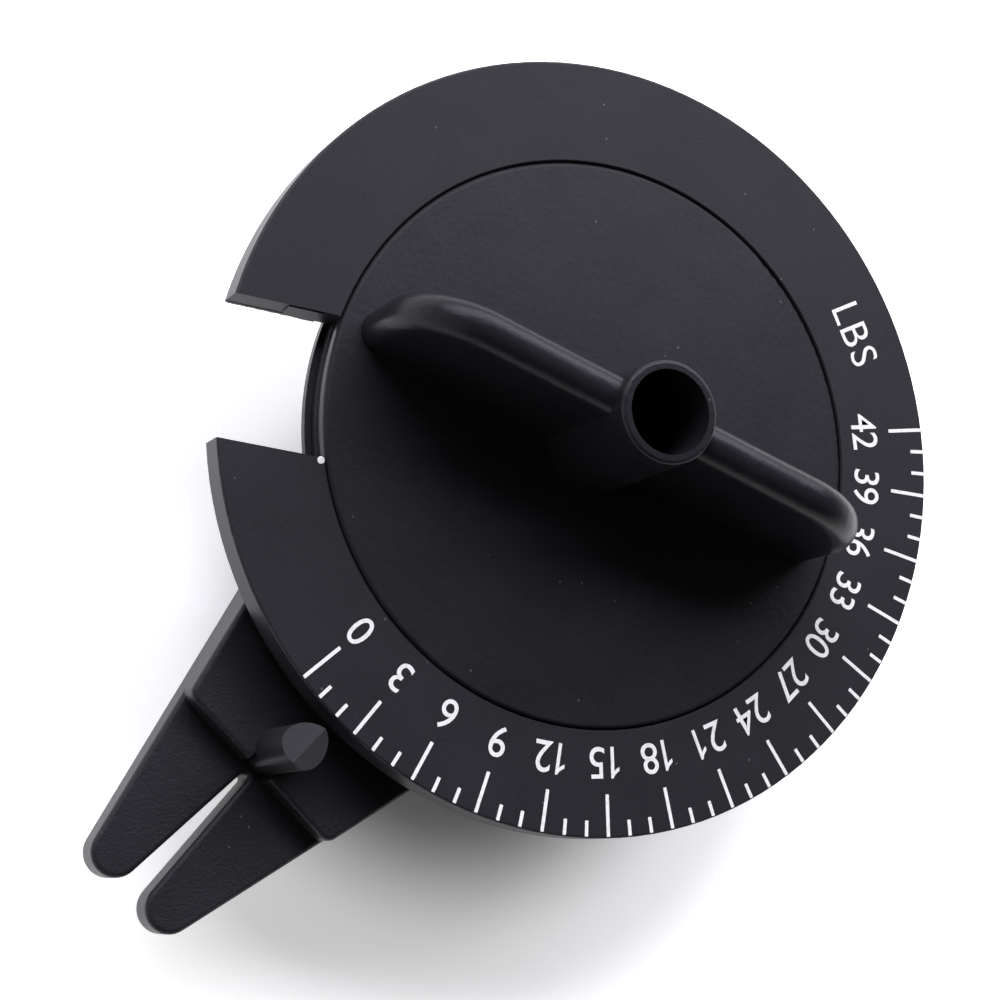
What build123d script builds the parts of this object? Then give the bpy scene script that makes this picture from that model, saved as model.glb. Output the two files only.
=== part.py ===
from build123d import *
import math
import os

# Racket string tension meter, in millimetres.
# +Z is the knob's axis and points away from the strings. The origin lies on that axis, on the hub's
# underside, which faces the strings. The fork points along -Y.
# A forked body lies along the string with two pins astride it. The knob winds a spiral spring against
# the body, and the ring on the knob carries the scale, read at the post on the body.

# Fork body, seen from above
hub_radius = 17.2
tip_radius = 2.0            # rounded end of each prong
tip_reach = 50.3            # axis to the centre of a prong's rounded end
slot_mouth = 2.1            # gap between the two rounded ends
slot_end_radius = 0.35
slot_end_reach = 39.2       # axis to the centre of the slot's rounded end
shoulder_reach = 38.4       # axis to the shoulder's front face
shoulder_corner = 1.0

# Fork body, heights and edges
body_height = 5.0           # hub and shoulder
prong_height = 2.9
prong_edge = 0.42
body_edge = 0.42
under_edge = 0.2

# Pointer post on the shoulder
post_radius = 1.8
post_reach = 36.3
post_ridge = 12.5           # height of the roof's ridge over the hub's underside
post_roof_drop = 1.5        # ridge down to the eaves
keel_foot_reach = 38.3      # axis to the knife edge, at the prongs
keel_set_back = 0.05        # the knife edge's upper end, inside the post's front
keel_half_width = 0.95
keel_pocket_half_width = 1.2
keel_pocket_depth = 0.7
post_root = 0.5             # how far the post and the stop blocks reach into the body

# Spring chamber in the hub
rim_wall = 1.4
boss_radius = 11.0
chamber_floor = 1.4
anchor_slot_reach = 9.8     # axis to the bottom of the spring's slot in the boss

# Spiral spring, flat steel strip
strip_thickness = 1.0
strip_height = 3.2
coil_gap = 0.45
spring_half_turns = 4
spring_play = 0.3           # strip to boss, when relaxed
seat_play = 0.05            # under a seated piece
hook_play = 0.05            # each side of the strip in its slot
drive_tab_angle = 10.0      # degrees of the outer coil that rise into the knob

# Axle
screw_radius = 1.5          # thread
shoulder_radius = 2.3
axle_play = 0.05            # knob on the screw's shoulder
insert_radius = 2.3
insert_length = 3.3
thread_length = 3.2
head_radius = 3.1
head_height = 2.0
head_chamfer = 0.3
socket_across_flats = 2.5
socket_depth = 1.2
washer_thickness = 0.5
washer_radius = 3.3
washer_bore_play = 0.1
thrust_radius = 10.5
thrust_thickness = 0.8

# String pins
pin_radius = 1.5
pin_press_radius = 1.7      # stretch held in the boss
pin_head_radius = 2.4
pin_head_height = 1.0
pin_reach = 7.0             # axis to each pin
pin_length = 9.2            # below the hub
pin_end_chamfer = 0.4

# Knob
disc_radius = 23.76         # step that the ring sits on
disc_edge = 0.4
flange_radius = 24.3
flange_thickness = 0.75
ledge_height = 6.0          # over the knob's underside, carries the head washer
bore_radius = 3.4
tube_radius = 4.15          # at the rim
tube_foot_radius = 4.4
tube_height = 13.1          # over the dial
tube_edge = 0.35
wing_angle = 23.6           # degrees, at rest
wing_half_length = 22.05
wing_thickness = 3.4
wing_height = 12.0          # over the dial
wing_corner = 7.0
wing_crest = 1.6            # rounding of the wing's edge
wing_root = 0.5             # how far the wing and tube reach into the disc
trough_depth = 2.0
trough_play = 0.4           # tab and stops to the trough's walls
rib_angle = 7.0             # degrees across the drive rib
rib_play = 1.0              # degrees between the rib and each thing it can touch
knob_travel = 142.0         # degrees
stop_angle = 6.0            # degrees across each stop block
stop_inset = 0.1            # stop block's inner face back from the chamber's wall
stop_clearance = 0.4        # stop block to the trough's roof

# Dial ring
ring_radius = 32.5
ring_thickness = 3.0
ring_play = 0.08            # ring on the step
ring_edge = 0.2
ring_bore_edge = 0.12
gap_width = 11.6
gap_angle = 218.35          # degrees, middle of the opening at rest
bead_radius = 0.35
bead_reach = 0.25           # how far the ring's bead stands out of its bore
bead_play = 0.1

# Derived heights
knob_base = body_height + thrust_thickness + 2 * seat_play
ring_base = knob_base + flange_thickness + seat_play
dial_top = ring_base + ring_thickness
ledge_top = knob_base + ledge_height
head_base = ledge_top + washer_thickness + 2 * seat_play
chamber_radius = hub_radius - rim_wall
ring_bore_radius = disc_radius + ring_play
bead_height = ring_base + ring_thickness / 2

# Derived spring and drive
coil_pitch = strip_thickness + coil_gap
spring_start = boss_radius + spring_play + strip_thickness / 2
spring_end = spring_start + spring_half_turns * coil_pitch / 2
strip_base = chamber_floor + seat_play
trough_inner = spring_end - strip_thickness / 2 - trough_play
trough_outer = hub_radius + trough_play
trough_roof = knob_base + trough_depth
tab_top = trough_roof - stop_clearance
rib_start = drive_tab_angle + rib_play
rib_end = rib_start + rib_angle
stop_inner_radius = chamber_radius + stop_inset
home_stop_start = rib_end + rib_play
far_stop_end = rib_start - knob_travel - rib_play


def tangent_points(centre_a, radius_a, centre_b, radius_b, side):
    """Ends of the line that touches two circles on one side; a negative radius crosses over."""
    run = Vector(*centre_b) - Vector(*centre_a)
    lean = math.degrees(math.acos((radius_a - radius_b) / run.length))
    normal = run.normalized().rotate(Axis.Z, side * lean)
    start = Vector(*centre_a) + normal * radius_a
    end = Vector(*centre_b) + normal * radius_b
    return start, end


def sector(inner, outer, start, end, base, height):
    """Part of a round wall between two angles."""
    middle = (start + end) / 2
    half = math.radians((end - start) / 2)
    reach = 2 * outer
    across = reach * math.cos(half)
    aside = reach * math.sin(half)
    wedge = make_face(Polyline((0, 0), (across, -aside), (across, aside), close=True))
    band = (Circle(outer) - Circle(inner)) & wedge
    wall = extrude(Pos(0, 0, base) * band, height)
    return Rot(0, 0, middle) * wall


def revolved(points):
    """Solid turned about Z from an outline in the radius and height plane."""
    outline = make_face(Plane.XZ * Polyline(*points, close=True))
    return revolve(outline, Axis.Z)


def fork_outline():
    """Plan of hub and prongs: straight sides tangent to the hub and to the rounded ends."""
    tip_offset = slot_mouth / 2 + tip_radius
    plan = Circle(hub_radius)
    for side in (1, -1):
        tip = (side * tip_offset, -tip_reach)
        hub_touch, outer_touch = tangent_points((0, 0), hub_radius, tip, tip_radius, side)
        slot_touch, inner_touch = tangent_points(
            (0, -slot_end_reach), slot_end_radius, tip, -tip_radius, side
        )
        corners = [
            Vector(0, 0),
            hub_touch,
            outer_touch,
            Vector(*tip),
            inner_touch,
            slot_touch,
            Vector(0, -slot_end_reach),
        ]
        prong = make_face(Polyline(*corners, close=True))
        plan += prong
        plan += Pos(*tip) * Circle(tip_radius)
    slot_end = Pos(0, -slot_end_reach) * Circle(slot_end_radius)
    return plan - slot_end


def shoulder():
    """The thick part of the body over the plate, cut off square behind the slot."""
    reach = 2 * tip_reach
    keep = Pos(0, reach / 2 - shoulder_reach) * Rectangle(reach, reach)
    plan = fork_outline() & keep
    corners = plan.vertices().group_by(Axis.Y)[0]
    plan = fillet(corners, shoulder_corner)
    middle = prong_height / 2
    body = extrude(Pos(0, 0, middle) * plan, body_height - middle)
    body = fillet(body.faces().sort_by(Axis.Z)[-1].edges(), body_edge)
    pocket = Box(
        2 * keel_pocket_half_width,
        keel_pocket_depth + shoulder_corner,
        body_height,
        align=(Align.CENTER, Align.MAX, Align.MIN),
    )
    pocket_back = keel_pocket_depth - shoulder_reach
    return body - Pos(0, pocket_back, prong_height) * pocket


def post():
    """Pointer post: a round post under a gabled roof, with a knife-edge keel down its front."""
    base = prong_height - post_root
    round_post = extrude(Pos(0, -post_reach, base) * Circle(post_radius), post_ridge - base)
    keel_top_reach = post_reach + post_radius - keel_set_back
    spread = keel_foot_reach - keel_top_reach
    triangle = make_face(
        Polyline(
            (-keel_half_width, -post_reach - spread),
            (0, -keel_foot_reach),
            (keel_half_width, -post_reach - spread),
            close=True,
        )
    )
    lean = Vector(0, spread, post_ridge - prong_height)
    keel = extrude(Pos(0, 0, prong_height) * triangle, lean.length, dir=lean)
    overhang = 2 * post_radius
    gable = Plane.XZ * make_face(
        Polyline(
            (-overhang, 0),
            (overhang, 0),
            (overhang, post_ridge - 2 * post_roof_drop),
            (0, post_ridge),
            (-overhang, post_ridge - 2 * post_roof_drop),
            close=True,
        )
    )
    roofed = extrude(gable, 2 * tip_reach)
    return (round_post + keel) & roofed


def stop_blocks():
    """Two blocks on the hub's rim that the knob's rib turns between."""
    base = body_height - post_root
    height = tab_top - base
    outer = hub_radius - body_edge
    home = sector(stop_inner_radius, outer, home_stop_start, home_stop_start + stop_angle, base, height)
    far = sector(stop_inner_radius, outer, far_stop_end - stop_angle, far_stop_end, base, height)
    return home + far


def fork_body():
    """Hub, shoulder, prongs and post as one moulding, with the spring's chamber in the hub."""
    body = extrude(fork_outline(), prong_height)
    body = fillet(body.faces().sort_by(Axis.Z)[-1].edges(), prong_edge)
    body = fillet(body.faces().sort_by(Axis.Z)[0].edges(), under_edge)
    body += shoulder()
    chamber = Circle(chamber_radius) - Circle(boss_radius)
    body -= extrude(Pos(0, 0, chamber_floor) * chamber, body_height)
    slot_length = boss_radius - anchor_slot_reach
    slot = Box(
        2 * slot_length,
        strip_thickness + 2 * hook_play,
        body_height,
        align=(Align.MIN, Align.CENTER, Align.MIN),
    )
    body -= Pos(anchor_slot_reach, -strip_thickness / 2, chamber_floor) * slot
    insert_hole = Pos(0, 0, body_height) * Circle(insert_radius)
    body -= extrude(insert_hole, -insert_length)
    for side in (1, -1):
        centre = Pos(0, side * pin_reach)
        body -= extrude(centre * Circle(pin_press_radius), body_height)
        head_seat = centre * Pos(0, 0, body_height - pin_head_height) * Circle(pin_head_radius)
        body -= extrude(head_seat, body_height)
    body += stop_blocks()
    body += post()
    return body


def string_pin(side):
    """Headed steel pin pushed in from the spring side, so that it can't pull out on the string."""
    top = body_height
    under_head = top - pin_head_height
    profile = revolved(
        (
            (0, -pin_length),
            (pin_radius - pin_end_chamfer, -pin_length),
            (pin_radius, pin_end_chamfer - pin_length),
            (pin_radius, 0),
            (pin_press_radius, 0),
            (pin_press_radius, under_head),
            (pin_head_radius, under_head),
            (pin_head_radius, top),
            (0, top),
        )
    )
    return Pos(0, side * pin_reach) * profile


def torsion_spring():
    """Flat spiral in half circles about two centres, opening clockwise, with a hook at each end."""
    spiral = None
    for turn in range(spring_half_turns):
        lower = turn % 2 == 0
        side = -1 if lower else 1
        radius = spring_start + (2 * turn + 1) * coil_pitch / 4
        band = Circle(radius + strip_thickness / 2) - Circle(radius - strip_thickness / 2)
        reach = 2 * chamber_radius
        half = Pos(0, side * reach / 2) * Rectangle(2 * reach, reach)
        arc = Pos(side * coil_pitch / 4, 0) * (band & half)
        strip = extrude(Pos(0, 0, strip_base) * arc, strip_height)
        spiral = strip if spiral is None else spiral + strip
    tab_window = sector(boss_radius, chamber_radius, 0, drive_tab_angle, strip_base, tab_top - strip_base)
    tab = extrude(Pos(0, 0, strip_base) * arc, tab_top - strip_base) & tab_window
    hook_reach = anchor_slot_reach + hook_play
    hook = Box(
        spring_start + strip_thickness / 2 - hook_reach,
        strip_thickness,
        strip_height,
        align=(Align.MIN, Align.MAX, Align.MIN),
    )
    return spiral + tab + Pos(hook_reach, 0, strip_base) * hook


def thrust_washer():
    """Slippery plastic washer that the knob turns on."""
    ring = Circle(thrust_radius) - Circle(shoulder_radius + washer_bore_play)
    return extrude(Pos(0, 0, body_height + seat_play) * ring, thrust_thickness)


def threaded_insert():
    """Brass insert in the boss."""
    ring = Circle(insert_radius) - Circle(screw_radius)
    return extrude(Pos(0, 0, body_height) * ring, -insert_length)


def shoulder_screw():
    """Screw with a plain shoulder that the knob turns on, and a hexagon socket in its head."""
    head_top = head_base + head_height
    screw = revolved(
        (
            (0, body_height - thread_length),
            (screw_radius, body_height - thread_length),
            (screw_radius, body_height),
            (shoulder_radius, body_height),
            (shoulder_radius, head_base),
            (head_radius, head_base),
            (head_radius, head_top - head_chamfer),
            (head_radius - head_chamfer, head_top),
            (0, head_top),
        )
    )
    socket_plan = RegularPolygon(socket_across_flats / 2, 6, major_radius=False)
    socket = extrude(Pos(0, 0, head_top) * socket_plan, -socket_depth)
    return screw - socket


def head_washer():
    """Steel washer between the screw's head and the knob's ledge."""
    ring = Circle(washer_radius) - Circle(shoulder_radius + washer_bore_play)
    return extrude(Pos(0, 0, ledge_top + seat_play) * ring, washer_thickness)


def wing():
    """Thumb wing: a long plate on edge with round corners and a round crest."""
    height = wing_height + wing_root
    profile = Rectangle(2 * wing_half_length, height, align=(Align.CENTER, Align.MIN))
    profile = fillet(profile.vertices().group_by(Axis.Y)[-1], wing_corner)
    plate = extrude(Plane.XZ * profile, wing_thickness / 2, both=True)
    faces = plate.faces().sort_by(Axis.Y)
    bottom = plate.faces().sort_by(Axis.Z)[0].edges()
    crest = [edge for face in (faces[0], faces[-1]) for edge in face.edges() if edge not in bottom]
    plate = fillet(crest, wing_crest)
    return Rot(0, 0, wing_angle) * Pos(0, 0, dial_top - wing_root) * plate


def knob():
    """Disc, flange, wing and tube as one moulding."""
    flange_top = knob_base + flange_thickness
    disc = revolved(
        (
            (0, knob_base),
            (flange_radius, knob_base),
            (flange_radius, flange_top),
            (disc_radius, flange_top),
            (disc_radius, dial_top),
            (0, dial_top),
        )
    )
    top_edge = disc.edges().group_by(Axis.Z)[-1]
    disc = fillet(top_edge, disc_edge)
    tube = revolved(
        (
            (0, dial_top - wing_root),
            (tube_foot_radius, dial_top - wing_root),
            (tube_radius, dial_top + tube_height),
            (0, dial_top + tube_height),
        )
    )
    tube = fillet(tube.edges().group_by(Axis.Z)[-1], tube_edge)
    body = disc + wing() + tube
    body -= extrude(Pos(0, 0, ledge_top) * Circle(bore_radius), tube_height + dial_top)
    body -= extrude(Pos(0, 0, knob_base) * Circle(shoulder_radius + axle_play), ledge_height)
    trough = extrude(Pos(0, 0, knob_base) * (Circle(trough_outer) - Circle(trough_inner)), trough_depth)
    drive_rib = sector(trough_inner, trough_outer, rib_start, rib_end, knob_base, trough_depth)
    body -= trough - drive_rib
    groove = Pos(0, 0, bead_height) * Torus(ring_bore_radius + bead_radius - bead_reach, bead_radius + bead_play)
    return body - groove


def dial_ring():
    """C-shaped ring that snaps round the knob's step and can be turned on it."""
    flat = Circle(ring_radius) - Circle(ring_bore_radius)
    gap = Rot(0, 0, gap_angle) * Rectangle(2 * ring_radius, gap_width, align=(Align.MIN, Align.CENTER))
    ring = extrude(Pos(0, 0, ring_base) * (flat - gap), ring_thickness)
    middle_radius = (ring_radius + ring_bore_radius) / 2
    arcs = ring.edges().filter_by(GeomType.CIRCLE)
    top_bore_arcs = arcs.filter_by(lambda edge: edge.radius < middle_radius).sort_by(Axis.Z)[-1:]
    ring = chamfer(top_bore_arcs, ring_bore_edge)
    arcs = ring.edges().filter_by(GeomType.CIRCLE)
    ring = fillet(arcs.filter_by(lambda edge: edge.radius > middle_radius), ring_edge)
    bead = Pos(0, 0, bead_height) * Torus(ring_bore_radius + bead_radius - bead_reach, bead_radius)
    bead -= extrude(Pos(0, 0, ring_base) * gap, ring_thickness)
    return ring + bead


os.makedirs("parts", exist_ok=True)

pieces = {
    "fork_body": fork_body(),
    "string_pin_near": string_pin(-1),
    "string_pin_far": string_pin(1),
    "torsion_spring": torsion_spring(),
    "thrust_washer": thrust_washer(),
    "threaded_insert": threaded_insert(),
    "shoulder_screw": shoulder_screw(),
    "head_washer": head_washer(),
    "knob": knob(),
    "dial_ring": dial_ring(),
}

for name, piece in pieces.items():
    piece.label = name
    export_step(piece, f"parts/{name}.step")
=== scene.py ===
"""Looks of a racket string tension meter: finishes, printed scale, mould marks and studio."""

import logging
import math
from dataclasses import dataclass, field
from enum import Enum

import bmesh
import bpy
from mathutils import Matrix, Vector

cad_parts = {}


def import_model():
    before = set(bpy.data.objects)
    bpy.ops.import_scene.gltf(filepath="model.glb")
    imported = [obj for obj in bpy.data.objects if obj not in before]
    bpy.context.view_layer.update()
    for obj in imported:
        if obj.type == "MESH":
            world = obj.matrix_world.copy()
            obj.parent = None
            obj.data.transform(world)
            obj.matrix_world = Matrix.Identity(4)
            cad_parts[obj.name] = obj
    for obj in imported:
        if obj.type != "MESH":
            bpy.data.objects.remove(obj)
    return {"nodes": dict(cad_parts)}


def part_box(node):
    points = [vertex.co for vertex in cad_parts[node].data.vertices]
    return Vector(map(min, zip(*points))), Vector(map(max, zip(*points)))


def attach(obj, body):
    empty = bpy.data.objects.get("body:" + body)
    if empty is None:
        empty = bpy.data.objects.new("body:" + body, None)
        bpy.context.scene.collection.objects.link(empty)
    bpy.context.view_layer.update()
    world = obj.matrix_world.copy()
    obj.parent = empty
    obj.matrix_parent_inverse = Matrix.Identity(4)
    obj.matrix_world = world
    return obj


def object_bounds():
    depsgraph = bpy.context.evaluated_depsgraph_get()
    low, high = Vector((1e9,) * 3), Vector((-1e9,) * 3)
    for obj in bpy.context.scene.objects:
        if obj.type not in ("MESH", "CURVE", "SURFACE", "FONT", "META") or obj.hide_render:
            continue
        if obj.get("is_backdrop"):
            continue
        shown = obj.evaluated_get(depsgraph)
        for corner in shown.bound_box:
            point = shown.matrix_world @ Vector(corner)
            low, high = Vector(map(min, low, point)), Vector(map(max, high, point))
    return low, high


LOG = logging.getLogger("tension_meter")
Colour = tuple[float, float, float, float]
WHITE: Colour = (1.0, 1.0, 1.0, 1.0)


class Body(Enum):
    """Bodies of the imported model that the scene's own pieces ride on."""

    FORK = "fork"
    DIAL_RING = "dial_ring"


class Slot(Enum):
    """Material slot of the record; the scene's own pieces are not given it here."""

    BLACK_MOULDING = "black_moulding"


def mm(value: float) -> float:
    """Metres in a length given in millimetres."""
    return value / 1000.0


def linear(code: str) -> Colour:
    """Turn an sRGB hex colour to linear light.

    Args:
        code: Colour as six hex digits after a hash.

    Returns:
        Red, green, blue and alpha, each from 0 to 1.
    """
    shares = [int(code[place : place + 2], 16) / 255 for place in (1, 3, 5)]
    lit = [s / 12.92 if s <= 0.04045 else ((s + 0.055) / 1.055) ** 2.4 for s in shares]
    return (lit[0], lit[1], lit[2], 1.0)


def add_node(
    tree: bpy.types.NodeTree, kind: str, values: dict | None = None, **settings: object
) -> bpy.types.Node:
    """Add a shader node with its settings, values and links.

    Args:
        tree: Node tree that gets the node.
        kind: Node type.
        values: Input name or number to a plain value, or to the output that feeds it.
        **settings: Attributes of the node itself.

    Returns:
        The new node.
    """
    node = tree.nodes.new(kind)
    for name, value in settings.items():
        setattr(node, name, value)
    for name, value in (values or {}).items():
        if isinstance(value, bpy.types.NodeSocket):
            tree.links.new(value, node.inputs[name])
        else:
            node.inputs[name].default_value = value
    return node


def noise(
    tree: bpy.types.NodeTree, place: bpy.types.NodeSocket, size_mm: float, **shape: float
) -> bpy.types.NodeSocket:
    """Add a noise texture whose cells have a real size.

    Args:
        tree: Node tree that gets the node.
        place: Coordinates in metres.
        size_mm: Size of a cell in millimetres.
        **shape: The node's further inputs by name.

    Returns:
        The noise, from 0 to 1.
    """
    values = {"Vector": place, "Scale": 1 / mm(size_mm), **shape}
    return add_node(tree, "ShaderNodeTexNoise", values).outputs["Fac"]


def ramp(
    tree: bpy.types.NodeTree,
    value: bpy.types.NodeSocket,
    seen: tuple[float, float] = (0.0, 1.0),
    given: tuple[float, float] = (0.0, 1.0),
    kind: str = "LINEAR",
) -> bpy.types.NodeSocket:
    """Map one range of a value onto another, held at its ends.

    Args:
        tree: Node tree that gets the node.
        value: What is mapped.
        seen: Ends of the range that comes in.
        given: Ends of the range that goes out.
        kind: Interpolation between them.

    Returns:
        The mapped value.
    """
    values = {
        "Value": value,
        "From Min": seen[0],
        "From Max": seen[1],
        "To Min": given[0],
        "To Max": given[1],
    }
    node = add_node(tree, "ShaderNodeMapRange", values, interpolation_type=kind)
    return node.outputs["Result"]


def maths(
    tree: bpy.types.NodeTree, operation: str, first: bpy.types.NodeSocket, *second: object
) -> bpy.types.NodeSocket:
    """Add a math node.

    Args:
        tree: Node tree that gets the node.
        operation: What it works out.
        first: Its first input.
        *second: Its second input, if it has one.

    Returns:
        The result.
    """
    values = dict(enumerate((first, *second)))
    return add_node(tree, "ShaderNodeMath", values, operation=operation).outputs[0]


def blend(
    tree: bpy.types.NodeTree, share: bpy.types.NodeSocket, low: object, high: object
) -> bpy.types.NodeSocket:
    """Mix two colours.

    Args:
        tree: Node tree that gets the node.
        share: Share of the second colour.
        low: The first colour, plain or from a node.
        high: The second colour, plain or from a node.

    Returns:
        The mixed colour.
    """
    values = {"Factor": share, 6: low, 7: high}
    return add_node(tree, "ShaderNodeMix", values, data_type="RGBA").outputs[2]


def relief(
    tree: bpy.types.NodeTree,
    height: bpy.types.NodeSocket,
    depth_mm: float,
    under: bpy.types.NodeSocket | None = None,
) -> bpy.types.NodeSocket:
    """Bend the normal by a height, in turn over another relief.

    Args:
        tree: Node tree that gets the node.
        height: Height, from 0 to 1.
        depth_mm: What 1 stands for, in millimetres.
        under: Normal of the relief below.

    Returns:
        The bent normal.
    """
    values = {"Strength": 1.0, "Distance": mm(depth_mm), "Height": height}
    if under is not None:
        values["Normal"] = under
    return add_node(tree, "ShaderNodeBump", values).outputs["Normal"]


def new_material(name: str) -> tuple[bpy.types.Material, bpy.types.NodeTree]:
    """Start a material with an empty node tree.

    Args:
        name: Name of the material.

    Returns:
        The material and its node tree.
    """
    material = bpy.data.materials.new(name)
    material.use_nodes = True
    material.node_tree.nodes.clear()
    return material, material.node_tree


def close_material(tree: bpy.types.NodeTree, shader: bpy.types.Node) -> None:
    """Lead a shader to the material's output.

    Args:
        tree: Node tree of the material.
        shader: Node whose first output is the finished shader.
    """
    add_node(tree, "ShaderNodeOutputMaterial", {"Surface": shader.outputs[0]})


@dataclass(frozen=True)
class MouldedAbs:
    """Black ABS, injection moulded against a spark-eroded mould.

    To the eye it is a deep neutral black. A fine matte grain turns it charcoal where it catches a
    wide light. Steep walls, and what stands over polished_above_mm, are smoother, because the mould
    was polished there. A faint peel and shallow sinks wander over the faces, a few pale specks lie
    on them, and a large disc is slightly domed.
    """

    name: str
    body: str = "#201f23"
    chalk: str = "#28272b"
    speck: str = "#6d6d70"
    roughness: float = 0.5
    roughness_spread: float = 0.06
    smooth_roughness: float = 0.4
    smooth_grain: float = 0.35
    sheen: float = 0.2
    steep_rise: tuple[float, float] = (0.3, 0.7)
    polished_above_mm: float = 100.0
    polished_blend_mm: float = 2.0
    grain_mm: float = 0.12
    grain_depth_mm: float = 0.03
    peel_mm: float = 0.6
    peel_depth_mm: float = 0.004
    sink_mm: float = 7.0
    sink_depth_mm: float = 0.012
    chalk_share: float = 0.55
    speck_mm: float = 2.6
    speck_edge: tuple[float, float] = (0.028, 0.045)
    speck_share: float = 0.6
    dome_mm: float = 0.0
    dome_radius_mm: float = 25.0

    def smoothness(
        self, tree: bpy.types.NodeTree, place: bpy.types.NodeSocket
    ) -> bpy.types.NodeSocket:
        """Where the mould was polished: 1 on steep walls and high up, 0 on grained faces.

        Args:
            tree: Node tree of the material.
            place: Object coordinates.

        Returns:
            The share of polish.
        """
        facing = add_node(tree, "ShaderNodeNewGeometry").outputs["Normal"]
        rise = add_node(tree, "ShaderNodeSeparateXYZ", {"Vector": facing}).outputs["Z"]
        upward = maths(tree, "ABSOLUTE", rise)
        walls = ramp(tree, upward, self.steep_rise, (1.0, 0.0), "SMOOTHSTEP")
        height = add_node(tree, "ShaderNodeSeparateXYZ", {"Vector": place}).outputs["Z"]
        edge = mm(self.polished_above_mm), mm(self.polished_above_mm + self.polished_blend_mm)
        high = ramp(tree, height, edge, kind="SMOOTHSTEP")
        return maths(tree, "MAXIMUM", walls, high)

    def dome(
        self, tree: bpy.types.NodeTree, place: bpy.types.NodeSocket
    ) -> bpy.types.NodeSocket:
        """Normal of a face that falls away from its middle with the square of the radius.

        Args:
            tree: Node tree of the material.
            place: Object coordinates.

        Returns:
            The bent normal.
        """
        across = add_node(
            tree, "ShaderNodeVectorMath", {0: place, 1: (1.0, 1.0, 0.0)}, operation="MULTIPLY"
        ).outputs["Vector"]
        square = add_node(
            tree, "ShaderNodeVectorMath", {0: across, 1: across}, operation="DOT_PRODUCT"
        ).outputs["Value"]
        fall = -mm(self.dome_mm) / mm(self.dome_radius_mm) ** 2
        values = {"Strength": 1.0, "Distance": fall, "Height": square}
        return add_node(tree, "ShaderNodeBump", values).outputs["Normal"]

    def make(self) -> bpy.types.Material:
        """Build the material.

        Returns:
            The material, on object coordinates.
        """
        material, tree = new_material(self.name)
        place = add_node(tree, "ShaderNodeTexCoord").outputs["Object"]
        grain = noise(tree, place, self.grain_mm, Detail=3.0, Roughness=0.62)
        sink = noise(tree, place, self.sink_mm, Detail=2.0, Roughness=0.45)
        peel = noise(tree, place, self.peel_mm, Detail=1.0, Roughness=0.4)
        smooth = self.smoothness(tree, place)

        chalky = ramp(tree, sink, (0.3, 0.75), (0.0, self.chalk_share))
        tone = blend(tree, chalky, linear(self.body), linear(self.chalk))
        dots = add_node(
            tree,
            "ShaderNodeTexVoronoi",
            {"Vector": place, "Scale": 1 / mm(self.speck_mm), "Randomness": 1.0},
        ).outputs["Distance"]
        dusty = ramp(tree, dots, self.speck_edge, (self.speck_share, 0.0))
        dusted = blend(tree, dusty, tone, linear(self.speck))

        spread = self.roughness - self.roughness_spread, self.roughness + self.roughness_spread
        matte = ramp(tree, grain, (0.25, 0.75), spread)
        rough = add_node(
            tree,
            "ShaderNodeMix",
            {0: smooth, 2: matte, 3: self.smooth_roughness},
            data_type="FLOAT",
        ).outputs[0]

        grain_share = ramp(tree, smooth, given=(1.0, self.smooth_grain))
        grain_height = maths(tree, "MULTIPLY", grain, grain_share)
        normal = relief(tree, sink, self.sink_depth_mm, self.dome(tree, place))
        normal = relief(tree, peel, self.peel_depth_mm, normal)
        normal = relief(tree, grain_height, self.grain_depth_mm, normal)
        shader = add_node(
            tree,
            "ShaderNodeBsdfPrincipled",
            {
                "Base Color": dusted,
                "Roughness": rough,
                "IOR": 1.53,
                "Specular IOR Level": self.sheen,
                "Normal": normal,
            },
        )
        close_material(tree, shader)
        return material


@dataclass(frozen=True)
class PadPrintInk:
    """White two-part pad-printing ink.

    To the eye it is a slightly greenish white, satin, thinner and greyer in small patches.
    """

    name: str
    full: str = "#fcfdf9"
    thin: str = "#eaeee4"
    roughness: float = 0.42
    patch_mm: float = 0.35
    patch_edge: tuple[float, float] = (0.34, 0.56)
    patch_depth_mm: float = 0.003

    def make(self) -> bpy.types.Material:
        """Build the material.

        Returns:
            The material, on object coordinates.
        """
        material, tree = new_material(self.name)
        place = add_node(tree, "ShaderNodeTexCoord").outputs["Object"]
        patch = noise(tree, place, self.patch_mm, Detail=3.0, Roughness=0.6)
        cover = ramp(tree, patch, self.patch_edge)
        tone = blend(tree, cover, linear(self.thin), linear(self.full))
        shader = add_node(
            tree,
            "ShaderNodeBsdfPrincipled",
            {
                "Base Color": tone,
                "Roughness": self.roughness,
                "IOR": 1.5,
                "Normal": relief(tree, patch, self.patch_depth_mm),
            },
        )
        close_material(tree, shader)
        return material


class LayOfMarks(Enum):
    """Direction in which a tool or a mill left its fine marks."""

    ROUND_Z = "round the upright axis"
    ALONG_STRIP = "along the strip"


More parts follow.
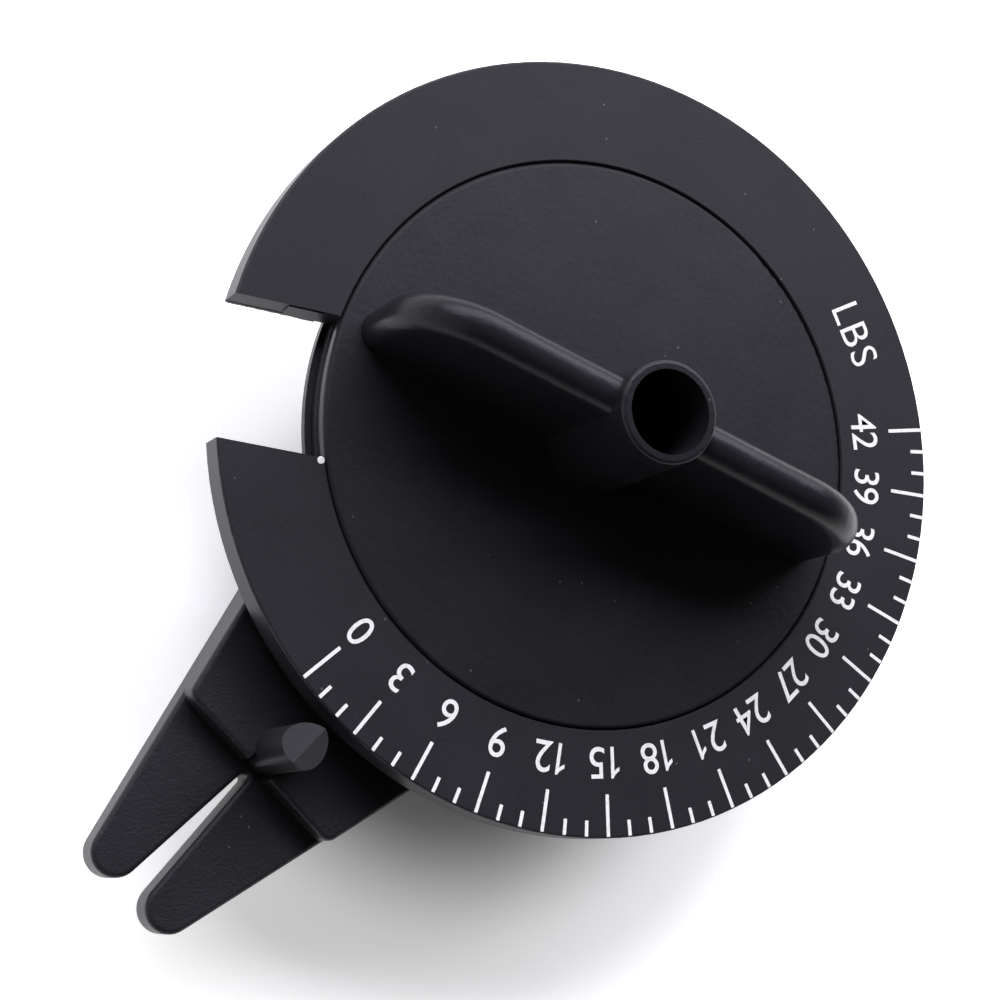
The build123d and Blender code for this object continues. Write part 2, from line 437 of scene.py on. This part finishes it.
@dataclass(frozen=True)
class WorkedMetal:
    """Metal that was turned, ground or rolled, with fine marks in one direction.

    To the eye the marks stretch each highlight into a soft band, and the tone wanders a little.
    """

    name: str
    bright: str
    dull: str
    roughness: float
    lay: LayOfMarks
    roughness_spread: float = 0.08
    mark_mm: float = 0.09
    mark_depth_mm: float = 0.0012
    cloud_mm: float = 1.6

    def make(self) -> bpy.types.Material:
        """Build the material.

        Returns:
            The material, on object coordinates.
        """
        material, tree = new_material(self.name)
        place = add_node(tree, "ShaderNodeTexCoord").outputs["Object"]
        fine, coarse = 1 / mm(self.mark_mm), 1 / mm(self.cloud_mm)
        stretch = (coarse / 4, coarse / 4, fine)
        if self.lay is LayOfMarks.ALONG_STRIP:
            stretch = (coarse / 2, coarse / 2, fine / 2)
        mapped = add_node(tree, "ShaderNodeMapping", {"Vector": place, "Scale": stretch})
        marks = add_node(
            tree,
            "ShaderNodeTexNoise",
            {"Vector": mapped.outputs["Vector"], "Scale": 1.0, "Detail": 4.0, "Roughness": 0.7},
        )
        marks = marks.outputs["Fac"]
        cloud = noise(tree, place, self.cloud_mm, Detail=3.0, Roughness=0.55)
        tone = blend(tree, cloud, linear(self.dull), linear(self.bright))
        spread = self.roughness - self.roughness_spread, self.roughness + self.roughness_spread
        shader = add_node(
            tree,
            "ShaderNodeBsdfPrincipled",
            {
                "Base Color": tone,
                "Metallic": 1.0,
                "Roughness": ramp(tree, marks, given=spread),
                "Normal": relief(tree, marks, self.mark_depth_mm),
            },
        )
        close_material(tree, shader)
        return material


@dataclass(frozen=True)
class NaturalAcetal:
    """Acetal, moulded in its natural colour.

    To the eye it is a milky white with a waxy sheen and a faint flow pattern.
    """

    name: str
    milk: str = "#e6e4dc"
    flow: str = "#d6d3c8"
    roughness: float = 0.38
    flow_mm: float = 3.0
    flow_depth_mm: float = 0.006

    def make(self) -> bpy.types.Material:
        """Build the material.

        Returns:
            The material, on object coordinates.
        """
        material, tree = new_material(self.name)
        place = add_node(tree, "ShaderNodeTexCoord").outputs["Object"]
        flow = noise(tree, place, self.flow_mm, Detail=4.0, Distortion=0.6)
        shader = add_node(
            tree,
            "ShaderNodeBsdfPrincipled",
            {
                "Base Color": blend(tree, flow, linear(self.flow), linear(self.milk)),
                "Roughness": self.roughness,
                "IOR": 1.48,
                "Subsurface Weight": 0.15,
                "Subsurface Scale": mm(0.6),
                "Normal": relief(tree, flow, self.flow_depth_mm),
            },
        )
        close_material(tree, shader)
        return material


def dress(node: bpy.types.Object, material: bpy.types.Material) -> None:
    """Give a CAD node or piece one finish.

    Args:
        node: Object to dress.
        material: Its finish.
    """
    node.data.materials.clear()
    node.data.materials.append(material)


def finished_piece(
    name: str, mesh: bmesh.types.BMesh, material: bpy.types.Material, body: Body
) -> bpy.types.Object:
    """Turn a mesh that is already in place to a piece that rides on a body.

    Args:
        name: Name of the piece.
        mesh: Its mesh, in metres in the shared frame; it is freed.
        material: Its finish.
        body: Body that it rides on.

    Returns:
        The piece.
    """
    bmesh.ops.recalc_face_normals(mesh, faces=mesh.faces)
    data = bpy.data.meshes.new(name)
    mesh.to_mesh(data)
    mesh.free()
    piece = bpy.data.objects.new(name, data)
    bpy.context.scene.collection.objects.link(piece)
    dress(piece, material)
    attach(piece, body.value)
    LOG.info("%s rides on %s", name, body.value)
    return piece


@dataclass
class PrintedScale:
    """White scale printed on the dial ring: strokes, numerals, unit and setting dot.

    Lengths in millimetres, azimuths in degrees, swellings in font units. one_outline is the digit
    one, which the font draws without its small flag.
    """

    ring_top: float
    ink: float = 0.016
    bedded: float = 0.006
    zero_azimuth: float = 263.8
    pound_step: float = 3.503
    last_pound: int = 42
    labelled_step: int = 3
    stroke_outer: float = 32.36
    long_inner: float = 28.97
    zero_inner: float = 28.57
    short_inner: float = 31.08
    stroke_width: float = 0.3
    stroke_corner: float = 0.06
    numeral_height: float = 2.55
    numeral_reach: float = 26.43
    numeral_pitch: float = 1.6
    narrowing: float = 0.93
    swelling: float = 0.002
    unit_height: float = 2.75
    unit_reach: float = 28.1
    unit_azimuth: float = 428.9
    unit_narrowing: float = 0.92
    unit_pitch: float = 2.02
    unit_swelling: float = -0.004
    dot_radius: float = 0.31
    dot_top_share: float = 0.86
    dot_reach: float = 24.18
    dot_azimuth: float = 232.8
    one_outline: tuple[tuple[float, float], ...] = (
        (0.02, 0.0),
        (0.11, 0.0),
        (0.11, 0.72),
        (0.052, 0.72),
        (0.0, 0.635),
        (-0.12, 0.545),
        (-0.12, 0.46),
        (-0.045, 0.5),
        (0.02, 0.555),
    )
    material: bpy.types.Material | None = field(default=None, repr=False)

    def azimuth(self, pounds: float) -> float:
        """Azimuth in degrees of a reading in pounds."""
        return self.zero_azimuth + self.pound_step * pounds

    def layer(self) -> tuple[float, float]:
        """Middle height and thickness of the ink, in metres."""
        low, high = self.ring_top - self.bedded, self.ring_top + self.ink
        return mm((low + high) / 2), mm(high - low)

    def stroke(self, mesh: bmesh.types.BMesh, inner: float, azimuth: float) -> None:
        """Add one stroke with round corners.

        Args:
            mesh: Mesh that gets the stroke.
            inner: Radius of its inner end.
            azimuth: Its azimuth in degrees.
        """
        middle, thick = self.layer()
        length = self.stroke_outer - inner
        reach = (self.stroke_outer + inner) / 2
        shape = Matrix.Diagonal((mm(length), mm(self.stroke_width), thick, 1.0))
        turn = Matrix.Rotation(math.radians(azimuth), 4, "Z")
        place = turn @ Matrix.Translation((mm(reach), 0.0, middle)) @ shape
        made = bmesh.ops.create_cube(mesh, size=1.0, matrix=place)
        uprights = [
            edge
            for edge in {edge for vertex in made["verts"] for edge in vertex.link_edges}
            if abs(edge.verts[0].co.z - edge.verts[1].co.z) > thick / 2
        ]
        bmesh.ops.bevel(
            mesh,
            geom=uprights,
            offset=mm(self.stroke_corner),
            segments=3,
            profile=0.5,
            affect="EDGES",
            material=-1,
        )

    def strokes(self) -> bpy.types.Object:
        """Long strokes at the numerals and short ones at the pounds between them."""
        mesh = bmesh.new()
        for pounds in range(self.last_pound + 1):
            inner = self.short_inner
            if pounds % self.labelled_step == 0:
                inner = self.long_inner
            if pounds == 0:
                inner = self.zero_inner
            self.stroke(mesh, inner, self.azimuth(pounds))
        return finished_piece(
            "scale_strokes", mesh, self.material, Body.DIAL_RING
        )

    def sign(self, sign: str, swelling: float) -> bpy.types.Mesh:
        """Make one sign of unit thickness, its stem or middle at the origin, in font units.

        Args:
            sign: A letter or a digit.
            swelling: How far its strokes grow on each side, in font units.

        Returns:
            Its mesh.
        """
        if sign == "1":
            made = bmesh.new()
            corners = [made.verts.new((x, y, -0.5)) for x, y in self.one_outline]
            grown = bmesh.ops.extrude_face_region(made, geom=[made.faces.new(corners)])
            lifted = [part for part in grown["geom"] if isinstance(part, bmesh.types.BMVert)]
            bmesh.ops.translate(made, verts=lifted, vec=(0.0, 0.0, 1.0))
            flat = bpy.data.meshes.new("sign")
            made.to_mesh(flat)
            made.free()
            return flat
        curve = bpy.data.curves.new("sign", "FONT")
        curve.body = sign
        curve.extrude = 0.5
        curve.offset = swelling
        curve.resolution_u = 6
        maker = bpy.data.objects.new("sign", curve)
        bpy.context.scene.collection.objects.link(maker)
        bpy.context.view_layer.update()
        flat = bpy.data.meshes.new_from_object(maker)
        bpy.data.objects.remove(maker)
        low = min(vertex.co.x for vertex in flat.vertices)
        high = max(vertex.co.x for vertex in flat.vertices)
        flat.transform(Matrix.Translation((-(high + low) / 2, 0.0, 0.0)))
        return flat

    def word(
        self,
        mesh: bmesh.types.BMesh,
        text: str,
        size: tuple[float, float, float, float],
        reach: float,
        azimuth: float,
    ) -> None:
        """Add a short word or number whose top points outwards.

        Args:
            mesh: Mesh that gets the word.
            text: What it says.
            size: Height of a sign, its width as a share of the font's own, the pitch and the
                swelling.
            reach: Radius of its middle.
            azimuth: Azimuth of its middle in degrees.
        """
        height, narrowing, pitch, swelling = size
        middle, thick = self.layer()
        turn = Matrix.Rotation(math.radians(azimuth - 90.0), 4, "Z")
        for place, sign in enumerate(text):
            flat = self.sign(sign, swelling)
            low = min(vertex.co.y for vertex in flat.vertices)
            high = max(vertex.co.y for vertex in flat.vertices)
            scale = mm(height) / (high - low)
            across = mm(pitch) * (place - (len(text) - 1) / 2)
            sized = Matrix.Diagonal((scale * narrowing, scale, thick, 1.0))
            centred = Matrix.Translation((0.0, -(high + low) / 2, 0.0))
            at = Matrix.Translation((across, mm(reach), middle))
            flat.transform(turn @ at @ sized @ centred)
            mesh.from_mesh(flat)
            bpy.data.meshes.remove(flat)

    def numerals(self) -> bpy.types.Object:
        """Plain numbers inside the long strokes."""
        mesh = bmesh.new()
        for pounds in range(0, self.last_pound + 1, self.labelled_step):
            self.word(
                mesh,
                str(pounds),
                (self.numeral_height, self.narrowing, self.numeral_pitch, self.swelling),
                self.numeral_reach,
                self.azimuth(pounds),
            )
        return finished_piece(
            "scale_numerals", mesh, self.material, Body.DIAL_RING
        )

    def unit(self) -> bpy.types.Object:
        """The unit after the last numeral."""
        mesh = bmesh.new()
        self.word(
            mesh,
            "LBS",
            (self.unit_height, self.unit_narrowing, self.unit_pitch, self.unit_swelling),
            self.unit_reach,
            self.unit_azimuth,
        )
        return finished_piece(
            "scale_unit", mesh, self.material, Body.DIAL_RING
        )

    def dot(self) -> bpy.types.Object:
        """Setting dot beside the opening."""
        mesh = bmesh.new()
        middle, thick = self.layer()
        turn = Matrix.Rotation(math.radians(self.dot_azimuth), 4, "Z")
        place = turn @ Matrix.Translation((mm(self.dot_reach), 0.0, middle))
        bmesh.ops.create_cone(
            mesh,
            cap_ends=True,
            segments=28,
            radius1=mm(self.dot_radius),
            radius2=mm(self.dot_radius * self.dot_top_share),
            depth=thick,
            matrix=place,
        )
        return finished_piece(
            "setting_dot", mesh, self.material, Body.DIAL_RING
        )

    def build(self) -> None:
        """Make every printed mark."""
        self.strokes()
        self.numerals()
        self.unit()
        self.dot()


def slab(
    mesh: bmesh.types.BMesh, outline: list[tuple[float, float]], near: float, far: float
) -> None:
    """Add a thin upright slab between two planes of constant local y. Lengths in millimetres.

    Args:
        mesh: Mesh that gets the slab.
        outline: Its outline in local x and z.
        near: Local y of its hidden side.
        far: Local y of its seen side.
    """
    corners = [mesh.verts.new((mm(x), mm(near), mm(z))) for x, z in outline]
    face = mesh.faces.new(corners)
    grown = bmesh.ops.extrude_face_region(mesh, geom=[face])
    moved = [part for part in grown["geom"] if isinstance(part, bmesh.types.BMVert)]
    bmesh.ops.translate(mesh, verts=moved, vec=(0.0, mm(far - near), 0.0))


@dataclass
class MouldingMarks:
    """What the mould left: a trimmed gate and flash in the ring's opening, a print on the fork.

    Lengths in millimetres. gate_edge is the gate's ragged lower edge and flash_waves the flash's,
    as height, waves per millimetre and start.
    """

    ring_low: float
    ring_top: float
    fork_top: float = 5.0
    opening_azimuth: float = 218.35
    wall: float = -5.8
    bedded: float = 0.03
    gate_inner: float = 24.5
    gate_outer: float = 27.5
    gate_proud: float = 0.11
    gate_shy: float = 0.16
    gate_edge: tuple[tuple[float, float], ...] = (
        (0.0, 0.08),
        (1.0, 0.04),
        (1.9, 0.22),
        (2.6, 0.5),
        (2.9, 0.95),
    )
    flash_inner: float = 25.0
    flash_outer: float = 31.8
    flash_high: float = 0.35
    flash_hang: float = 0.14
    flash_proud: float = 0.04
    flash_steps: int = 60
    flash_middle: float = 0.55
    flash_least: float = 0.05
    flash_waves: tuple[tuple[float, float, float], ...] = ((0.3, 6.1, 0.0), (0.25, 15.7, 1.0))
    ejector_place: tuple[float, float] = (-4.34, -35.69)
    ejector_radius: float = 1.35
    ejector_edge: float = 0.05
    material_ring: bpy.types.Material | None = field(default=None, repr=False)
    material_fork: bpy.types.Material | None = field(default=None, repr=False)

    def gate(self) -> bpy.types.Object:
        """Trimmed gate and the ragged flash under it, on the wall of the ring's opening."""
        mesh = bmesh.new()
        low, top = self.ring_low, self.ring_top
        outline = [
            (self.gate_outer, top - self.gate_shy),
            (self.gate_inner, top - self.gate_shy),
            *((self.gate_inner + along, low + up) for along, up in self.gate_edge),
        ]
        hidden = self.wall - self.bedded
        slab(mesh, outline, hidden, self.wall + self.gate_proud)
        step = (self.flash_outer - self.flash_inner) / self.flash_steps
        ragged = []
        for place in range(self.flash_steps + 1):
            x = self.flash_inner + step * place
            waves = sum(high * math.sin(rate * x + start) for high, rate, start in self.flash_waves)
            tooth = max(self.flash_middle + waves, self.flash_least)
            ragged.append((x, low - self.flash_hang * tooth))
        upper = [(end, low + self.flash_high) for end in (self.flash_outer, self.flash_inner)]
        slab(mesh, ragged + upper, hidden, self.wall + self.flash_proud)
        turn = Matrix.Rotation(math.radians(self.opening_azimuth), 4, "Z")
        bmesh.ops.transform(mesh, matrix=turn, verts=mesh.verts)
        return finished_piece(
            "gate_trim", mesh, self.material_ring, Body.DIAL_RING
        )

    def ejector(self) -> bpy.types.Object:
        """Round print of an ejector pin on the fork's shoulder."""
        mesh = bmesh.new()
        x, y = self.ejector_place
        place = Matrix.Translation((mm(x), mm(y), mm(self.fork_top)))
        bmesh.ops.create_cone(
            mesh,
            cap_ends=True,
            segments=48,
            radius1=mm(self.ejector_radius),
            radius2=mm(self.ejector_radius - self.ejector_edge),
            depth=mm(self.ejector_edge),
            matrix=place,
        )
        return finished_piece(
            "ejector_print", mesh, self.material_fork, Body.FORK
        )

    def build(self) -> None:
        """Make every mark."""
        self.gate()
        self.ejector()


@dataclass
class Finishes:
    """Every finish of the object, and which CAD node wears it."""

    moulded_ring: MouldedAbs = MouldedAbs(
        "moulded_abs_ring", grain_depth_mm=0.028, sink_depth_mm=0.04
    )
    moulded_knob: MouldedAbs = MouldedAbs(
        "moulded_abs_knob",
        roughness=0.5,
        smooth_roughness=0.3,
        sheen=0.15,
        grain_depth_mm=0.03,
        peel_depth_mm=0.024,
        sink_depth_mm=0.12,
        polished_above_mm=14.0,
        dome_mm=1.0,
        dome_radius_mm=23.76,
    )
    moulded_fork: MouldedAbs = MouldedAbs(
        "moulded_abs_fork", grain_mm=0.2, grain_depth_mm=0.06, sink_depth_mm=0.03
    )
    ink: PadPrintInk = PadPrintInk("pad_print_ink")
    ground_pin: WorkedMetal = WorkedMetal(
        "ground_stainless_pin", "#c9cac8", "#b3b4b2", 0.24, LayOfMarks.ROUND_Z
    )
    oxide_screw: WorkedMetal = WorkedMetal(
        "black_oxide_screw", "#2c2c30", "#1d1d20", 0.4, LayOfMarks.ROUND_Z
    )
    oxide_washer: WorkedMetal = WorkedMetal(
        "black_oxide_washer", "#303034", "#202024", 0.36, LayOfMarks.ROUND_Z, mark_mm=0.15
    )
    rolled_spring: WorkedMetal = WorkedMetal(
        "rolled_spring_steel", "#8b8e94", "#6c6e76", 0.3, LayOfMarks.ALONG_STRIP
    )
    turned_brass: WorkedMetal = WorkedMetal(
        "turned_brass_insert", "#cfae6b", "#b3904e", 0.28, LayOfMarks.ROUND_Z
    )
    acetal: NaturalAcetal = NaturalAcetal("natural_acetal_washer")

    def dress_nodes(self, nodes: dict[str, bpy.types.Object]) -> dict[str, bpy.types.Material]:
        """Dress the CAD nodes.

        Args:
            nodes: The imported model's objects by name.

        Returns:
            The material that each node wears.
        """
        pin = self.ground_pin.make()
        worn = {
            "dial_ring": self.moulded_ring.make(),
            "knob": self.moulded_knob.make(),
            "fork_body": self.moulded_fork.make(),
            "string_pin_near": pin,
            "string_pin_far": pin,
            "shoulder_screw": self.oxide_screw.make(),
            "head_washer": self.oxide_washer.make(),
            "torsion_spring": self.rolled_spring.make(),
            "threaded_insert": self.turned_brass.make(),
            "thrust_washer": self.acetal.make(),
        }
        for name, material in worn.items():
            dress(nodes[name], material)
            LOG.info("%s wears %s", name, material.name)
        return worn


@dataclass(frozen=True)
class SoftBox:
    """A wide studio lamp that faces the object. Lengths in millimetres, power in watts."""

    name: str
    towards: tuple[float, float, float]
    distance: float
    width: float
    height: float
    power: float
    tint: str = "#ffffff"

    def build(self, target: Vector) -> bpy.types.Object:
        """Make the lamp.

        Args:
            target: Point that it faces, in metres.

        Returns:
            The lamp.
        """
        lamp = bpy.data.lights.new(self.name, "AREA")
        lamp.shape = "RECTANGLE"
        lamp.size, lamp.size_y = mm(self.width), mm(self.height)
        lamp.energy = self.power
        lamp.color = linear(self.tint)[:3]
        holder = bpy.data.objects.new(self.name, lamp)
        direction = Vector(self.towards).normalized()
        holder.location = target + direction * mm(self.distance)
        holder.rotation_mode = "QUATERNION"
        holder.rotation_quaternion = direction.to_track_quat("Z", "Y")
        holder.visible_camera = False
        bpy.context.scene.collection.objects.link(holder)
        return holder


@dataclass
class Studio:
    """Pale floor, soft lamps, dim surroundings and the camera.

    Lengths in millimetres. The floor's glow shows to camera, glossy and transmission rays only.
    With the distance from dim_place it rises from glow_near to glow_far, so that the shadow under
    the object is kept, and to full where the floor is open. Seen from below the floor is clear.
    """

    floor_height: float
    aim: tuple[float, float, float] = (0.0, -8.0, 6.0)
    floor_radius: float = 1500.0
    floor_white: str = "#f4f4f3"
    glow_near: float = 0.05
    glow_far: float = 0.5
    glow_from: float = 14.0
    glow_to: float = 27.0
    open_from: float = 10.0
    open_to: float = 50.0
    dim_place: tuple[float, float] = (8.0, -14.0)
    tooth_mm: float = 1.2
    tooth_depth_mm: float = 0.02
    tooth_strength: float = 0.2
    floor_segments: int = 96
    surroundings: float = 0.02
    horizon_rise: tuple[float, float] = (0.1, 0.35)
    lamps: tuple[SoftBox, ...] = (
        SoftBox("key_softbox", (-0.54, 0.74, 0.78), 900.0, 1700.0, 600.0, 21.5, "#f5f1ff"),
        SoftBox("front_softbox", (-0.60, -0.78, 0.50), 1000.0, 1200.0, 600.0, 1.4),
    )
    focal_mm: float = 82.08
    camera_place: tuple[float, float, float] = (-33.792, -83.619, 175.255)
    camera_right: tuple[float, float, float] = (0.64889, 0.64160, 0.40902)
    camera_up: tuple[float, float, float] = (-0.74129, 0.65428, 0.14968)
    camera_back: tuple[float, float, float] = (-0.17158, -0.40033, 0.90017)

    def floor_material(self) -> bpy.types.Material:
        """White paper floor: it keeps the shadow, shows white in gloss, and is clear from below."""
        material, tree = new_material("white_paper_floor")
        place = add_node(tree, "ShaderNodeTexCoord").outputs["Object"]
        tooth = noise(tree, place, self.tooth_mm, Detail=3.0)
        bump = add_node(
            tree,
            "ShaderNodeBump",
            {
                "Strength": self.tooth_strength,
                "Distance": mm(self.tooth_depth_mm),
                "Height": tooth,
            },
        )
        paper = add_node(
            tree,
            "ShaderNodeBsdfDiffuse",
            {"Color": linear(self.floor_white), "Normal": bump.outputs["Normal"]},
        )
        flat = add_node(
            tree, "ShaderNodeVectorMath", {0: place, 1: (1.0, 1.0, 0.0)}, operation="MULTIPLY"
        )
        centre = (mm(self.dim_place[0]), mm(self.dim_place[1]), 0.0)
        away = add_node(
            tree,
            "ShaderNodeVectorMath",
            {0: flat.outputs["Vector"], 1: centre},
            operation="DISTANCE",
        ).outputs["Value"]
        edge = mm(self.glow_from), mm(self.glow_to)
        light = ramp(tree, away, edge, (self.glow_near, self.glow_far), "SMOOTHSTEP")
        beyond = ramp(tree, away, (mm(self.open_from), mm(self.open_to)), kind="SMOOTHSTEP")
        light = maths(tree, "MAXIMUM", light, beyond)
        path = add_node(tree, "ShaderNodeLightPath").outputs
        seen = maths(tree, "MAXIMUM", path["Is Camera Ray"], path["Is Glossy Ray"])
        seen = maths(tree, "MAXIMUM", seen, path["Is Transmission Ray"])
        glow = add_node(
            tree,
            "ShaderNodeEmission",
            {"Color": WHITE, "Strength": maths(tree, "MULTIPLY", seen, light)},
        )
        top = add_node(tree, "ShaderNodeAddShader", {0: paper.outputs[0], 1: glow.outputs[0]})
        below = add_node(tree, "ShaderNodeNewGeometry").outputs["Backfacing"]
        clear = add_node(tree, "ShaderNodeBsdfTransparent")
        shader = add_node(
            tree, "ShaderNodeMixShader", {0: below, 1: top.outputs[0], 2: clear.outputs[0]}
        )
        close_material(tree, shader)
        return material

    def floor(self) -> bpy.types.Object:
        """Round sheet that the pins' ends stand on."""
        mesh = bmesh.new()
        place = Matrix.Translation((mm(self.aim[0]), mm(self.aim[1]), self.floor_height))
        bmesh.ops.create_circle(
            mesh,
            cap_ends=True,
            segments=self.floor_segments,
            radius=mm(self.floor_radius),
            matrix=place,
        )
        data = bpy.data.meshes.new("floor")
        mesh.to_mesh(data)
        mesh.free()
        sheet = bpy.data.objects.new("floor", data)
        bpy.context.scene.collection.objects.link(sheet)
        dress(sheet, self.floor_material())
        sheet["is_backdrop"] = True
        return sheet

    def world(self) -> None:
        """Surroundings: white to the camera and, near the horizon, in gloss; dim as a light."""
        world = bpy.data.worlds.new("surroundings")
        world.use_nodes = True
        tree = world.node_tree
        tree.nodes.clear()
        place = add_node(tree, "ShaderNodeTexCoord").outputs["Generated"]
        rise = add_node(tree, "ShaderNodeSeparateXYZ", {"Vector": place}).outputs["Z"]
        horizon = ramp(tree, rise, self.horizon_rise, (1.0, 0.0), "SMOOTHSTEP")
        path = add_node(tree, "ShaderNodeLightPath").outputs
        gloss = maths(tree, "MAXIMUM", path["Is Glossy Ray"], path["Is Transmission Ray"])
        gloss = maths(tree, "MULTIPLY", gloss, horizon)
        seen = maths(tree, "MAXIMUM", path["Is Camera Ray"], gloss)
        level = ramp(tree, seen, given=(self.surroundings, 1.0))
        sky = add_node(tree, "ShaderNodeBackground", {"Color": WHITE, "Strength": level})
        add_node(tree, "ShaderNodeOutputWorld", {"Surface": sky.outputs[0]})
        bpy.context.scene.world = world

    def camera(self) -> None:
        """Camera at the photograph's viewing angle."""
        lens = bpy.data.cameras.new("camera")
        lens.lens = self.focal_mm
        lens.sensor_width = 36.0
        lens.clip_start = 0.005
        holder = bpy.data.objects.new("camera", lens)
        columns = (self.camera_right, self.camera_up, self.camera_back)
        turn = Matrix(columns).transposed().to_4x4()
        place = Vector([mm(part) for part in self.camera_place])
        holder.matrix_world = Matrix.Translation(place) @ turn
        bpy.context.scene.collection.objects.link(holder)
        bpy.context.scene.camera = holder

    def build(self) -> None:
        """Set the whole stage."""
        self.camera()
        self.floor()
        self.world()
        for lamp in self.lamps:
            lamp.build(Vector([mm(part) for part in self.aim]))
        bpy.context.scene.view_settings.view_transform = "Standard"


def main() -> None:
    """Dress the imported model, add its printed scale and set the stage."""
    logging.basicConfig(level=logging.INFO, format="%(message)s")
    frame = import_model()
    cad_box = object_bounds()
    finishes = Finishes()
    worn = finishes.dress_nodes(frame["nodes"])
    ring_low, ring_top = (1000.0 * corner.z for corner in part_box("dial_ring"))
    PrintedScale(ring_top, material=finishes.ink.make()).build()
    MouldingMarks(
        ring_low, ring_top, material_ring=worn["dial_ring"], material_fork=worn["fork_body"]
    ).build()
    Studio(floor_height=cad_box[0].z).build()


if __name__ == "__main__":
    main()
